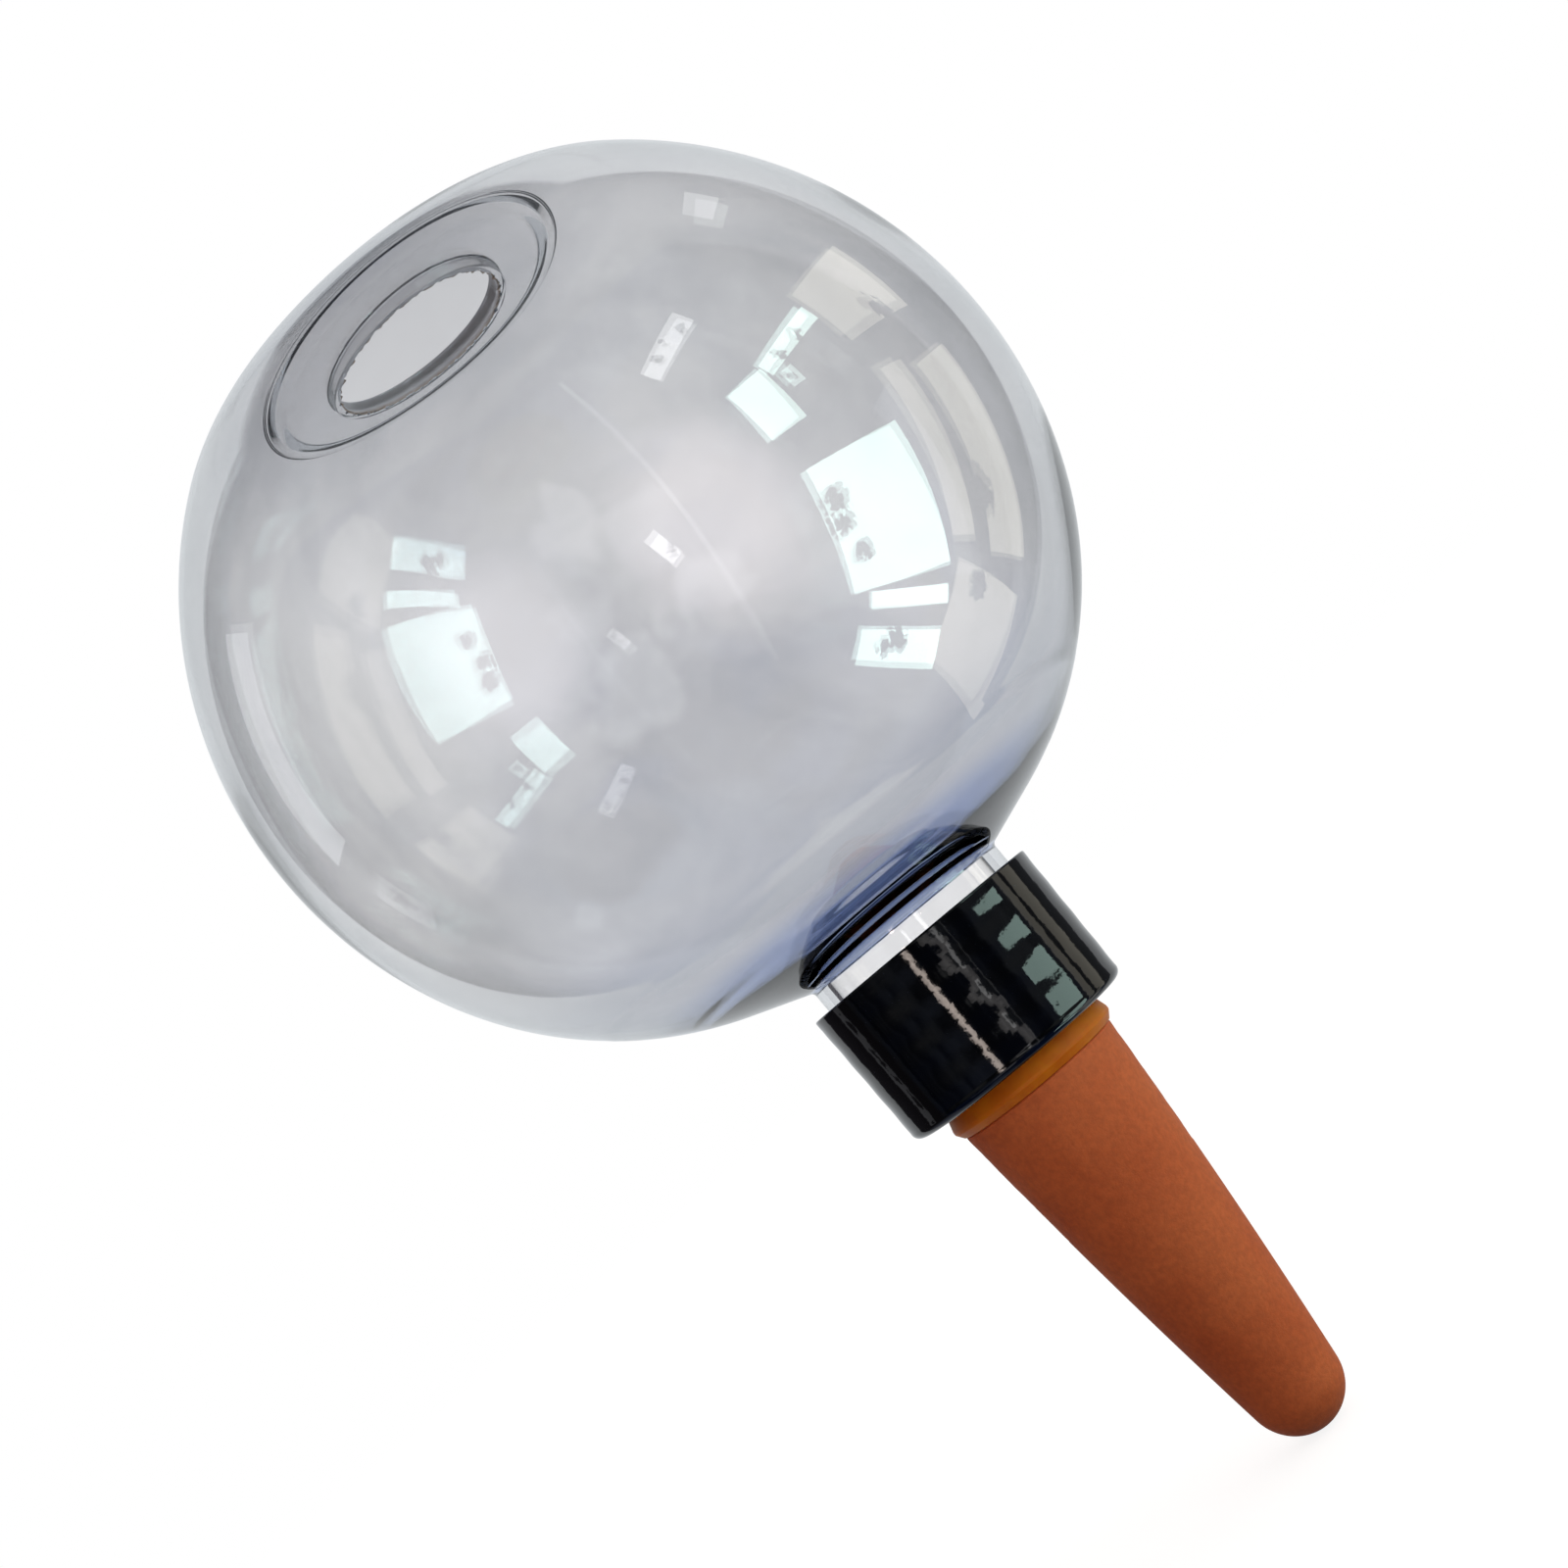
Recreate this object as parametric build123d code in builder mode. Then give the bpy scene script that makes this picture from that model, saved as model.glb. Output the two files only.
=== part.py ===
"""Watering globe: a clear bottle on a porous clay spike that waters a plant pot.

Millimetres, +Z up, with the globe standing over the spike as it does in use. The origin
is on the axis at the soil line, where the clay spike leaves its rubber collar.
"""
import os
from math import asin, cos, degrees, radians, sin

from build123d import *

# Clay spike: porous terracotta, hollow, closed and rounded at the tip
spike_length = 47.8  # soil line to tip
spike_top_r = 10.25
spike_mid_r = 8.1  # the sides are a little fuller than straight
spike_mid_share = 0.475  # of the length, down from the soil line
spike_tip_r = 5.65
spike_tip_taper = 7.3  # degrees between the side and the axis where the tip begins
spike_bore_r = 6.0
spike_bore_tip_r = 3.2
spike_tip_wall = 5.2
spigot_r = 8.8  # reduced neck that the collar grips
spigot_stand = 2.0  # how far the spigot stands out of the collar's flange
spike_edge = 0.35

# Rubber collar: a grommet, with a sealing flange inside the cap and a lip outside it
collar_lip_height = 3.0
collar_lip_r = 10.95
collar_lip_foot_r = 10.35
collar_lip_root_r = 10.4
collar_lip_chamfer = 0.8
collar_lip_band = 0.45
collar_sleeve_r = 9.85
collar_flange = 1.8
collar_edge = 0.25
glue_line = 0.05

# Screw cap: a ring cap with an open end wall, drawn from its mould with a slight draft
cap_height = 17.1
cap_mouth_r = 14.95
cap_foot_r = 14.6
cap_wall = 1.1
cap_end_wall = 1.6
cap_corner = 0.9
cap_edge = 0.25
running_gap = 0.3

# Screw neck of the globe, and the thread that its bore and lift follow
neck_r = 12.95
neck_bore_r = 10.85
neck_length = 16.3  # sealing rim to shoulder
neck_heel = 1.2  # wall left above the neck, where it runs into the shoulder
neck_fillet = 0.5
neck_inner_fillet = 1.5
neck_edge = 0.35

# Globe: a blown sphere, a little flatter at the shoulder and rounder at the base ring
globe_r = 50.0
globe_wall = 0.9
shoulder_angle = 115.8  # degrees from straight up, where the belly becomes the shoulder
shoulder_arc_share = 0.888  # of the globe's radius
shoulder_cone_r = 20.0  # from here down to the neck the shoulder is a cone
base_angle = 43.3  # degrees from straight up, where the belly becomes the base ring
base_arc_share = 0.46  # of the globe's radius

# Shallow dished base on top, with the filling hole through it in a thickened rim
dish_r = 19.3
ring_width = 2.2  # from the foot of the dish's wall out to the ring's rim
ring_round = 0.7
dish_depth = 0.6
dish_wall = 0.9
dish_round = 0.7
fill_bore_r = 11.6
fill_rim_height = 2.2
fill_rim_rise = 0.5  # above the dish, almost level with the ring
fill_rim_r = 12.9
fill_rim_foot_r = 14.6
fill_edge = 0.3

# Heights of the seats, from the soil line up
cap_z = collar_lip_height
flange_z = cap_z + cap_end_wall
neck_z = flange_z + collar_flange
shoulder_z = neck_z + neck_length
spigot_z = neck_z + spigot_stand
cap_top_z = cap_z + cap_height

# Fits
ring_r = dish_r + ring_width
collar_bore_r = spigot_r + glue_line
cap_hole_r = collar_sleeve_r + running_gap
cap_bore_r = cap_mouth_r - cap_wall
collar_flange_r = cap_bore_r - running_gap


def ray(angle):
    """Unit vector in the section plane, its angle in degrees down from straight up."""
    return Vector(sin(radians(angle)), cos(radians(angle)))


def corner(sketch, x, z):
    """The corner of a section that lies nearest to a point."""
    return sketch.vertices().sort_by_distance((x, z, 0))[0]


# The globe's section is a chain of arcs that touch. Each arc's centre lies on the ray
# through the point where it takes over, and is given here from the belly's centre.
shoulder_arc_r = globe_r * shoulder_arc_share
base_arc_r = globe_r * base_arc_share
shoulder_centre = (globe_r - shoulder_arc_r) * ray(shoulder_angle)
base_centre = (globe_r - base_arc_r) * ray(base_angle)
cone_angle = 180 - degrees(asin((shoulder_cone_r - shoulder_centre.X) / shoulder_arc_r))
ring_angle = degrees(asin((ring_r - base_centre.X) / base_arc_r))
cone_start = shoulder_centre + shoulder_arc_r * ray(cone_angle)
cone_run = ray(cone_angle + 90)
cone_end = cone_start + cone_run * ((neck_r - cone_start.X) / cone_run.X)

# The cone's lower end sits on the neck, which sets the height of the belly's centre.
globe_z = shoulder_z - cone_end.Y
belly = Vector(0, globe_z)
ring_z = globe_z + (base_centre + base_arc_r * ray(ring_angle)).Y
dish_z = ring_z - dish_depth


def globe_arcs(inset):
    """Shoulder, belly and base arcs of the globe's section, set in by a wall."""
    shoulder_mid = (cone_angle + shoulder_angle) / 2
    base_mid = (base_angle + ring_angle) / 2
    shoulder, base = belly + shoulder_centre, belly + base_centre
    ThreePointArc(*(shoulder + (shoulder_arc_r - inset) * ray(a)
                    for a in (cone_angle, shoulder_mid, shoulder_angle)))
    ThreePointArc(*(belly + (globe_r - inset) * ray(a)
                    for a in (shoulder_angle, 90, base_angle)))
    ThreePointArc(*(base + (base_arc_r - inset) * ray(a)
                    for a in (base_angle, base_mid, ring_angle)))
    return (shoulder + (shoulder_arc_r - inset) * ray(cone_angle),
            base + (base_arc_r - inset) * ray(ring_angle))


with BuildPart() as clay_cone:
    with BuildSketch(Plane.XZ) as spike_section:
        with BuildLine():
            tip_z = spike_tip_r - spike_length
            tip_start = Vector(0, tip_z) + spike_tip_r * ray(90 + spike_tip_taper)
            bore_tip_z = spike_bore_tip_r + spike_tip_wall - spike_length
            Line((0, -spike_length), (0, bore_tip_z - spike_bore_tip_r))
            RadiusArc((0, bore_tip_z - spike_bore_tip_r), (spike_bore_tip_r, bore_tip_z),
                      -spike_bore_tip_r)
            Polyline((spike_bore_tip_r, bore_tip_z), (spike_bore_r, spigot_z),
                     (spigot_r, spigot_z), (spigot_r, 0), (spike_top_r, 0),
                     (spike_mid_r, -spike_length * spike_mid_share), tip_start)
            RadiusArc((0, -spike_length), tip_start, -spike_tip_r)
        make_face()
        chamfer(corner(spike_section, spike_top_r, 0), spike_edge)
        chamfer(corner(spike_section, spigot_r, spigot_z), spike_edge)
        chamfer(corner(spike_section, spike_bore_r, spigot_z), spike_edge)
    revolve(axis=Axis.Z)

with BuildPart() as rubber_collar:
    with BuildSketch(Plane.XZ) as collar_section:
        with BuildLine():
            band_z = collar_lip_chamfer + collar_lip_band
            Polyline(
                (collar_bore_r, 0),
                (collar_lip_foot_r, 0),
                (collar_lip_r, collar_lip_chamfer),
                (collar_lip_r, band_z),
                (collar_lip_root_r, cap_z),
                (collar_sleeve_r, cap_z),
                (collar_sleeve_r, flange_z),
                (collar_flange_r, flange_z),
                (collar_flange_r, neck_z),
                (collar_bore_r, neck_z),
                close=True,
            )
        make_face()
        chamfer(corner(collar_section, collar_flange_r, flange_z), collar_edge)
        chamfer(corner(collar_section, collar_flange_r, neck_z), collar_edge)
    revolve(axis=Axis.Z)

with BuildPart() as screw_cap:
    with BuildSketch(Plane.XZ) as cap_section:
        with BuildLine():
            Polyline(
                (cap_hole_r, cap_z),
                (cap_foot_r, cap_z),
                (cap_mouth_r, cap_top_z),
                (cap_bore_r, cap_top_z),
                (cap_bore_r, flange_z),
                (cap_hole_r, flange_z),
                close=True,
            )
        make_face()
        fillet(corner(cap_section, cap_foot_r, cap_z), cap_corner)
        chamfer(corner(cap_section, cap_mouth_r, cap_top_z), cap_edge)
        chamfer(corner(cap_section, cap_bore_r, cap_top_z), cap_edge)
        chamfer(corner(cap_section, cap_hole_r, cap_z), cap_edge)
    revolve(axis=Axis.Z)

with BuildPart() as globe:
    with BuildSketch(Plane.XZ) as globe_section:
        with BuildLine():
            outer_cone, outer_ring = globe_arcs(0)
            inner_cone, inner_ring = globe_arcs(globe_wall)
            heel_z = shoulder_z + neck_heel
            dish_back_z = dish_z - dish_wall
            rim_z = dish_z + fill_rim_rise
            rim_back_z = rim_z - fill_rim_height
            Polyline(outer_cone, (neck_r, shoulder_z), (neck_r, neck_z),
                     (neck_bore_r, neck_z), (neck_bore_r, heel_z), inner_cone)
            Polyline(outer_ring, (dish_r, dish_z), (fill_rim_foot_r, dish_z),
                     (fill_rim_r, rim_z), (fill_bore_r, rim_z), (fill_bore_r, rim_back_z),
                     (fill_rim_r, rim_back_z), (fill_rim_foot_r, dish_back_z),
                     (dish_r, dish_back_z), inner_ring)
        make_face()
        fillet(corner(globe_section, neck_r, shoulder_z), neck_fillet)
        fillet(corner(globe_section, neck_bore_r, heel_z), neck_inner_fillet)
        chamfer(corner(globe_section, neck_r, neck_z), neck_edge)
        chamfer(corner(globe_section, neck_bore_r, neck_z), neck_edge)
        fillet(corner(globe_section, outer_ring.X, outer_ring.Y), ring_round)
        fillet(corner(globe_section, dish_r, dish_z), dish_round)
        chamfer(corner(globe_section, fill_bore_r, rim_z), fill_edge)
        chamfer(corner(globe_section, fill_bore_r, rim_back_z), fill_edge)
    revolve(axis=Axis.Z)

clay_cone.part.label = "clay_cone"
rubber_collar.part.label = "rubber_collar"
screw_cap.part.label = "screw_cap"
globe.part.label = "globe"

os.makedirs("parts", exist_ok=True)
export_step(clay_cone.part, "parts/clay_cone.step")
export_step(rubber_collar.part, "parts/rubber_collar.step")
export_step(screw_cap.part, "parts/screw_cap.step")
export_step(globe.part, "parts/globe.step")
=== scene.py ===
"""The look of a watering globe: a clear bottle that stands on a porous clay spike.

Metres, +Z up, the origin on the axis at the soil line. The pieces follow each other as they are
put together: spike, collar, cap, globe. The floor, the light and the camera come last.
"""

import bmesh
import bpy
import numpy as np
from mathutils import Matrix, Vector


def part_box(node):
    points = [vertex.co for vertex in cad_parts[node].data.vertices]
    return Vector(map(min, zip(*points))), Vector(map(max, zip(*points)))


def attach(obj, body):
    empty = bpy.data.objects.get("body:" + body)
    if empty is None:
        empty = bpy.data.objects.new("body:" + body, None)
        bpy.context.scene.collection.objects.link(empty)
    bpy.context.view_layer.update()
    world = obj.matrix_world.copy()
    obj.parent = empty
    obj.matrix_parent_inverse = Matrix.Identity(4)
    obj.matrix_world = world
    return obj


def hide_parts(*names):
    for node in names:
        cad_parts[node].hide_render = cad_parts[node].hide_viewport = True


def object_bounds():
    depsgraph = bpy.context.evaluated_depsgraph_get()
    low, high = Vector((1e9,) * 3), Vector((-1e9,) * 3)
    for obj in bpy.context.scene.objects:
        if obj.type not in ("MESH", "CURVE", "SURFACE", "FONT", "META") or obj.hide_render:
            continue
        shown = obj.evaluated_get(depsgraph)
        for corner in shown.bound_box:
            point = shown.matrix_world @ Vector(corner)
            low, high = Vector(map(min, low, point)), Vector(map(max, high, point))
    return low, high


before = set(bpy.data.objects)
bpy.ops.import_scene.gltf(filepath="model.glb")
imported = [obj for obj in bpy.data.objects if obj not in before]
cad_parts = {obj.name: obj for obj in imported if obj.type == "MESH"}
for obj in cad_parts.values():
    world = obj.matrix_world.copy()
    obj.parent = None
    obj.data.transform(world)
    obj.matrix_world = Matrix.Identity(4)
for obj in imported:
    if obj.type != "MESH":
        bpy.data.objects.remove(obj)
cad_low, cad_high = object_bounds()

# Clay spike. Terracotta, cast hollow and fired at a low heat, so that water seeps through it.
# Its side is a little fuller than a straight cone, and a reduced spigot stands up into the
# neck. It is held only by the rubber collar.
mm = 0.001
spike_low, spike_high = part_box("clay_cone")
spike_top_r = spike_high.x
spike_tip_r = 5.65 * mm
spike_tip_taper = 7.8  # degrees between the side and the axis where the tip begins
spike_fullness = 0.3 * mm  # how far the side bulges beyond a straight line
spike_bore_r = 6.0 * mm
spike_bore_tip_r = 3.2 * mm
spike_tip_wall = 5.2 * mm
spigot_r = 8.8 * mm
spike_round = 0.4 * mm
spike_seat_round = 0.1 * mm
clay_unevenness = 0.035 * mm
clay_wave_count = 48
clay_wave_short = 2.5
clay_wave_long = 9


def arc(centre_r, centre_z, radius, start, end, steps):
    """Points (r, z) of an arc: centre + radius (sin a, cos a), a in degrees from straight up."""
    a = np.radians(np.linspace(start, end, steps))
    return np.column_stack([centre_r + radius * np.sin(a), centre_z + radius * np.cos(a)])


def rounded(corners, steps=7):
    """An outline whose corners (r, z, rounding) are arcs.

    The arc touches each side at rounding * tan(turn / 2) from the corner. Its points are the
    centre plus the rounding along a direction that swings from one side's normal to the other's.
    A point follows on each side at one step from the arc, which keeps the flat sides flat.
    """
    points = [np.array([corners[0][:2]])]
    for before, here, after in zip(corners, corners[1:], corners[2:]):
        p = np.array(here[:2])
        back, on = (np.array(q[:2]) - p for q in (before, after))
        back, on = back / np.linalg.norm(back), on / np.linalg.norm(on)
        turn = np.pi - np.arccos(np.clip(back @ on, -1, 1))
        touch = here[2] * np.tan(turn / 2)
        middle = (back + on) / np.linalg.norm(back + on)
        centre = p + middle * here[2] / np.cos(turn / 2)
        swing = np.linspace(-turn / 2, turn / 2, steps)[:, None]
        across = (on - back) / np.linalg.norm(on - back)
        bend = centre + here[2] * (np.sin(swing) * across - np.cos(swing) * middle)
        step = here[2] * turn / steps
        points += [[p + back * (touch + step)], bend, [p + on * (touch + step)]]
    points.append(np.array([corners[-1][:2]]))
    return np.concatenate(points)


def turned(name, section, material, columns=288, ring=False, shift=None):
    """A solid turned from its section: the point (r, z) at angle t goes to (r cos t, r sin t, z).

    The section runs down the outside. It starts and ends on the axis, or is a closed ring.
    shift(r, z, t) gives the metres that each point moves along r, as on a thread.
    """
    t = np.linspace(0, 2 * np.pi, columns, endpoint=False)
    r, z = (np.broadcast_to(section[:, [k]], (len(section), columns)) for k in (0, 1))
    if shift is not None:
        r = r + shift(r, z, t)
    points = np.stack([r * np.cos(t), r * np.sin(t), z], axis=-1).reshape(-1, 3)
    row = np.arange(len(section) if ring else len(section) - 1)[:, None]
    column = np.arange(columns)
    below, right = (row + 1) % len(section), (column + 1) % columns
    quads = np.stack([row * columns + column, below * columns + column,
                      below * columns + right, row * columns + right], axis=-1).reshape(-1, 4)
    mesh = bpy.data.meshes.new(name)
    mesh.from_pydata(points, [], quads)
    poles = bmesh.new()
    poles.from_mesh(mesh)
    bmesh.ops.remove_doubles(poles, verts=poles.verts, dist=1e-7)
    poles.to_mesh(mesh)
    poles.free()
    mesh.shade_smooth()
    mesh.materials.append(material)
    piece = bpy.data.objects.new(name, mesh)
    bpy.context.scene.collection.objects.link(piece)
    return piece


def linear(code):
    """An sRGB hex colour as linear RGBA: ((s + 0.055) / 1.055) ** 2.4, or s / 12.92 near black."""
    s = np.array([int(code[i:i + 2], 16) for i in (1, 3, 5)]) / 255
    return (*np.where(s > 0.04045, ((s + 0.055) / 1.055) ** 2.4, s / 12.92), 1.0)


def add_node(tree, kind, inputs=None, **settings):
    """One node with its settings. Each input is given a value, or linked from another's output."""
    made = tree.nodes.new(kind)
    for name, value in settings.items():
        setattr(made, name, value)
    for name, value in (inputs or {}).items():
        if isinstance(value, bpy.types.NodeSocket):
            tree.links.new(value, made.inputs[name])
        else:
            made.inputs[name].default_value = value
    return made


def new_material(name):
    """A material that holds only its output. Returns it with its node tree."""
    material = bpy.data.materials.new(name)
    material.use_nodes = True
    material.node_tree.nodes.clear()
    return material, material.node_tree


# Low-fired terracotta. Iron gives it its red, the soluble salts a paler bloom, and the open
# pores a dull surface without any gloss. The pores are 0.2 to 0.5 mm, drawn a little coarser.
terracotta, tree = new_material("low_fired_terracotta")
place = add_node(tree, "ShaderNodeTexCoord").outputs["Object"]
clouds = add_node(tree, "ShaderNodeTexNoise",
                  {"Vector": place, "Scale": 1 / (14 * mm), "Detail": 4, "Roughness": 0.55})
bloom = add_node(tree, "ShaderNodeValToRGB", {"Fac": clouds.outputs["Fac"]})
bloom.color_ramp.elements[0].position = 0.32
bloom.color_ramp.elements[0].color = linear("#C05A29")
bloom.color_ramp.elements[1].position = 0.72
bloom.color_ramp.elements[1].color = linear("#D06C38")
grit = add_node(tree, "ShaderNodeTexNoise",
                {"Vector": place, "Scale": 1 / (0.7 * mm), "Detail": 3, "Roughness": 0.6})
speckle = add_node(tree, "ShaderNodeMapRange",
                   {"Value": grit.outputs["Fac"], "From Min": 0.35, "From Max": 0.65,
                    "To Min": 0.9, "To Max": 1.08})
clay_colour = add_node(tree, "ShaderNodeVectorMath",
                       {0: bloom.outputs["Color"], "Scale": speckle.outputs["Result"]},
                       operation="SCALE")
pores = add_node(tree, "ShaderNodeTexNoise",
                 {"Vector": place, "Scale": 1 / (0.45 * mm), "Detail": 4, "Roughness": 0.7})
clay_bump = add_node(tree, "ShaderNodeBump",
                     {"Height": pores.outputs["Fac"], "Strength": 0.55, "Distance": 0.12 * mm})
clay = add_node(tree, "ShaderNodeBsdfPrincipled",
                {"Base Color": clay_colour.outputs["Vector"], "Roughness": 0.75,
                 "Specular IOR Level": 0.45, "Normal": clay_bump.outputs["Normal"]})
add_node(tree, "ShaderNodeOutputMaterial", {"Surface": clay.outputs["BSDF"]})

waves = np.random.default_rng(4)
wave_ways = waves.normal(size=(clay_wave_count, 3))
wave_lengths = waves.uniform(clay_wave_short, clay_wave_long, (clay_wave_count, 1)) * mm
wave_vectors = wave_ways * 2 * np.pi / wave_lengths
wave_phases = waves.uniform(0, 2 * np.pi, clay_wave_count)


def clay_shift(r, z, t):
    """The casting's unevenness, which only goes inwards: min(4 m - 1, 0) times its size.

    m is the mean of 48 sine waves over space, 2.5 to 9 mm long and in all directions.
    """
    points = np.stack([r * np.cos(t), r * np.sin(t), z], axis=-1)
    swell = np.sin(points @ wave_vectors.T + wave_phases).mean(axis=-1)
    return np.minimum(clay_unevenness * (swell * 4 - 1), 0) * (r > spigot_r) * (z < -spike_round)


tip_z = spike_low.z + spike_tip_r
tip_start = np.array([spike_tip_r * np.cos(np.radians(spike_tip_taper)),
                      tip_z - spike_tip_r * np.sin(np.radians(spike_tip_taper))])
along = np.linspace(0, 1, 150)[:, None]
side = np.array([spike_top_r, 0]) * (1 - along) + tip_start * along
side[:, 0] += (4 * spike_fullness * along * (1 - along))[:, 0]
bore_tip_z = spike_low.z + spike_tip_wall + spike_bore_tip_r
spigot_line = rounded([
    (spike_bore_tip_r, bore_tip_z, 0),
    (spike_bore_r, spike_high.z, spike_round),
    (spigot_r, spike_high.z, spike_round),
    (spigot_r, 0, spike_seat_round),
    (spike_top_r, 0, spike_round),
    (side[2, 0], side[2, 1], 0),
])
spike_section = np.concatenate([
    arc(0, bore_tip_z, spike_bore_tip_r, 180, 90, 12),
    spigot_line[1:],
    side[3:],
    arc(0, tip_z, spike_tip_r, 90 + spike_tip_taper, 180, 28)[1:],
])
spike = turned("clay_spike", spike_section, terracotta, columns=240, shift=clay_shift)
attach(spike, "spike")
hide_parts("clay_cone")

# Rubber collar. A moulded grommet of amber silicone rubber, which grips the spike's spigot. Its
# flange seals against the neck's rim, its sleeve passes through the cap's hole, and its bevelled
# lip shows outside as a thin orange ring.
collar_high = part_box("rubber_collar")[1]
lip_height = 3.0 * mm
lip_r = 10.95 * mm
lip_foot_r = 10.35 * mm
lip_root_r = 10.42 * mm
lip_bevel = 0.85 * mm
lip_band = 0.4 * mm
sleeve_r = 9.85 * mm
flange = 1.8 * mm
glue_line = 0.05 * mm
collar_bore_r = spigot_r + glue_line
collar_seam_r = collar_bore_r + 0.3 * mm  # where the closed section starts and ends
collar_bore_round = 0.1 * mm
lip_soften = 0.25 * mm
crisp = 0.02 * mm

# Translucent amber silicone: light spreads a millimetre or two inside it, which makes its thin
# edges glow, and the mould leaves it with a satin surface.
rubber, tree = new_material("amber_silicone_rubber")
place = add_node(tree, "ShaderNodeTexCoord").outputs["Object"]
haze = add_node(tree, "ShaderNodeTexNoise",
                {"Vector": place, "Scale": 1 / (3 * mm), "Detail": 2})
amber = add_node(tree, "ShaderNodeValToRGB", {"Fac": haze.outputs["Fac"]})
amber.color_ramp.elements[0].position = 0.3
amber.color_ramp.elements[0].color = linear("#CC6A04")
amber.color_ramp.elements[1].position = 0.7
amber.color_ramp.elements[1].color = linear("#DC7E08")
satin = add_node(tree, "ShaderNodeTexNoise",
                 {"Vector": place, "Scale": 1 / (0.5 * mm), "Detail": 2})
rubber_bump = add_node(tree, "ShaderNodeBump",
                       {"Height": satin.outputs["Fac"], "Strength": 0.15, "Distance": 0.05 * mm})
silicone = add_node(tree, "ShaderNodeBsdfPrincipled",
                    {"Base Color": amber.outputs["Color"], "Roughness": 0.5, "IOR": 1.41,
                     "Specular IOR Level": 0.35, "Subsurface Weight": 0.6,
                     "Subsurface Radius": (1.0, 0.45, 0.08), "Subsurface Scale": 1.2 * mm,
                     "Normal": rubber_bump.outputs["Normal"]})
add_node(tree, "ShaderNodeOutputMaterial", {"Surface": silicone.outputs["BSDF"]})

flange_z = collar_high.z - flange
collar_section = rounded([
    (collar_seam_r, collar_high.z, 0),
    (collar_high.x, collar_high.z, lip_soften),
    (collar_high.x, flange_z, lip_soften),
    (sleeve_r, flange_z, lip_soften),
    (sleeve_r, lip_height, crisp),
    (lip_root_r, lip_height, crisp),
    (lip_r, lip_bevel + lip_band, lip_soften),
    (lip_r, lip_bevel, lip_soften),
    (lip_foot_r, 0, lip_soften / 2),
    (collar_bore_r, 0, crisp),
    (collar_bore_r, collar_high.z, collar_bore_round),
    (collar_seam_r, collar_high.z, 0),
])[:-1]
collar = turned("silicone_collar", collar_section, rubber, ring=True)
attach(collar, "spike")
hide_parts("rubber_collar")

# Screw cap. An injection moulded ring cap of black polypropylene, with a hole in its end wall
# for the collar. It is drawn from the mould with a slight draft, its free corner is rounded, and
# a thread of one and a half turns stands inside it.
cap_low, cap_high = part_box("screw_cap")
cap_foot_r = 14.6 * mm
cap_hole_r = 10.15 * mm
cap_bore_r = 13.85 * mm
cap_end_wall = 1.6 * mm
cap_corner = 0.95 * mm
cap_edge = 0.22 * mm
cap_seam_r = cap_bore_r + 0.5 * mm  # where the closed section starts and ends
thread_pitch = 4.233 * mm
thread_turns = 1.5
thread_run_out = 0.12  # of a turn, over which each end of the thread fades away
thread_start_z = 9.4 * mm
thread_crest = 0.6  # share of the ridge's full height at which its crest is cut flat
cap_thread_height = 0.62 * mm
cap_thread_width = 1.5 * mm
cap_thread_margin = 1 * mm  # plain bore above and below the rows that carry the thread
cap_sink = 0.045 * mm
hair = 0.01 * mm  # tells points that lie on a cylinder from the others


def thread(z, t, start_z, width, height):
    """A right-hand helical ridge: z = start + pitch * t / 2 pi, with a rounded flank on each side.

    The ridge is a raised cosine of the distance to the nearest turn, cut flat at its crest, and
    its height fades in and out over the run-out at both ends.
    """
    share = (z - start_z) / thread_pitch - t / (2 * np.pi)
    turn = np.clip(np.round(share), 0, thread_turns)
    off = (share - turn) * thread_pitch / width
    wave = 0.5 + 0.5 * np.cos(2 * np.pi * np.clip(off, -0.5, 0.5))
    ridge = np.clip(wave, 0, thread_crest) / thread_crest
    wound = turn + t / (2 * np.pi)
    fade = np.clip(np.minimum(wound, thread_turns - wound) / thread_run_out, 0, 1)
    return height * ridge * fade * fade * (3 - 2 * fade)


def cap_shift(r, z, t):
    """The cap's thread stands inwards from its bore, half a pitch above the neck's thread.

    Its side sinks a little over each turn of the thread: sink * (cos(2 pi turns) - 1) / 2.
    """
    bore = (np.abs(r - cap_bore_r) < hair) & (z < cap_high.z - 2 * cap_thread_margin)
    lifted = thread_start_z + thread_pitch / 2
    turns = (z - lifted) / thread_pitch - t / (2 * np.pi)
    side = (r > cap_bore_r + 0.6 * mm) & (z > cap_low.z + cap_corner) & (z < cap_high.z - mm)
    return (-thread(z, t, lifted, cap_thread_width, cap_thread_height) * bore
            + cap_sink * (np.cos(2 * np.pi * turns) - 1) / 2 * side)


# Injection moulded polypropylene, jet black and almost mirror smooth. Sink marks over the thread
# bend its reflections a little, and handling leaves a faint dull haze.
black, tree = new_material("moulded_black_polypropylene")
place = add_node(tree, "ShaderNodeTexCoord").outputs["Object"]
wear = add_node(tree, "ShaderNodeTexNoise",
                {"Vector": place, "Scale": 1 / (1.6 * mm), "Detail": 5, "Roughness": 0.7})
gloss = add_node(tree, "ShaderNodeMapRange",
                 {"Value": wear.outputs["Fac"], "From Min": 0.3, "From Max": 0.75,
                  "To Min": 0.03, "To Max": 0.08})
sink = add_node(tree, "ShaderNodeTexNoise",
                {"Vector": place, "Scale": 1 / (5 * mm), "Detail": 4})
cap_bump = add_node(tree, "ShaderNodeBump",
                    {"Height": sink.outputs["Fac"], "Strength": 0.5, "Distance": 0.12 * mm})
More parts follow.
